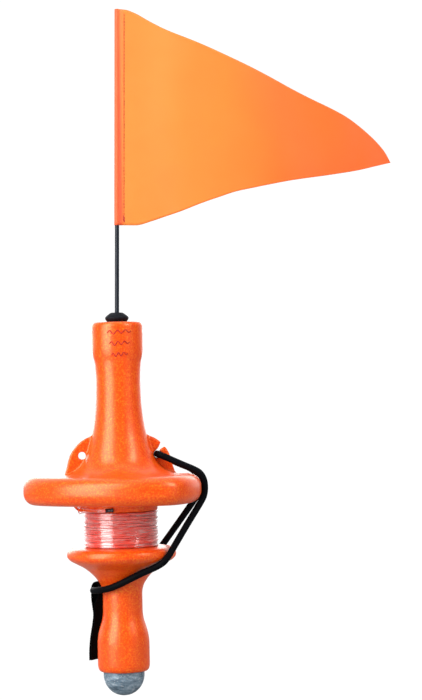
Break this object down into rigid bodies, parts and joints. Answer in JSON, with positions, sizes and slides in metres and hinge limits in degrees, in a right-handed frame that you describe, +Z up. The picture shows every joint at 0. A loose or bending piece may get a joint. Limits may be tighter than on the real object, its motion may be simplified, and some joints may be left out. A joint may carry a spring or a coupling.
{
  "type": "bobber float",
  "caption": "Moulded orange fishing float with upper and lower grips, a lobed buoyancy flange, a line barrel, a lead foot, a shock cord and a pennant on a rod.",
  "frame": {"origin": "on the float's axis at the middle of the buoyancy flange, where the water supports it", "axes": "+Z up along the float's axis, +X towards the pennant, with the two ears along X; the rod leans 1.25 degrees towards +X"},
  "size_m": [0.3431, 0.1592, 0.6173],
  "materials": {
    "speckled_plastic": "satin orange with fine yellow and red speckles",
    "foam": "closed-cell foam",
    "rubber": "matt black moulded rubber",
    "rod": "black pultruded fibreglass rod",
    "flag_cloth": "coated fluorescent orange cloth",
    "red_thread": "red sewing thread",
    "line": "clear monofilament",
    "crimp_metal": "blackened crimp",
    "lead": "cast lead with a dull skin",
    "cord": "black braided shock cord",
    "webbing": "black woven webbing"
  },
  "bodies": {
    "float": {"float_shell": "speckled_plastic", "foam_core": "foam", "pole_bush": "rubber", "line_winding": "line", "line_leader": "line", "line_crimp": "crimp_metal", "lead_ballast": "lead", "shock_cord": "cord", "cord_clamp": "crimp_metal"},
    "pole": {"flag_pole": "rod"},
    "flag": {"flag": "flag_cloth", "flag_seam_front": "red_thread", "flag_seam_back": "red_thread"},
    "tab": {"pull_tab": "webbing", "tab_stitching": "cord"}
  },
  "joints": [
    {"name": "pole_pull", "type": "slide", "parent": "float", "child": "pole", "axis": [0.0218, 0, 0.9998], "range_m": [0, 0.085]},
    {"name": "flag_swing", "type": "hinge", "parent": "pole", "child": "flag", "pos_m": [0, 0, 0.1499], "axis": [0.0218, 0, 0.9998], "continuous": true},
    {"name": "tab_swing", "type": "hinge", "parent": "float", "child": "tab", "pos_m": [-0.01948, 0.01314, -0.0903], "axis": [0.5592, 0.829, 0], "range_deg": [0, 100]}
  ]
}
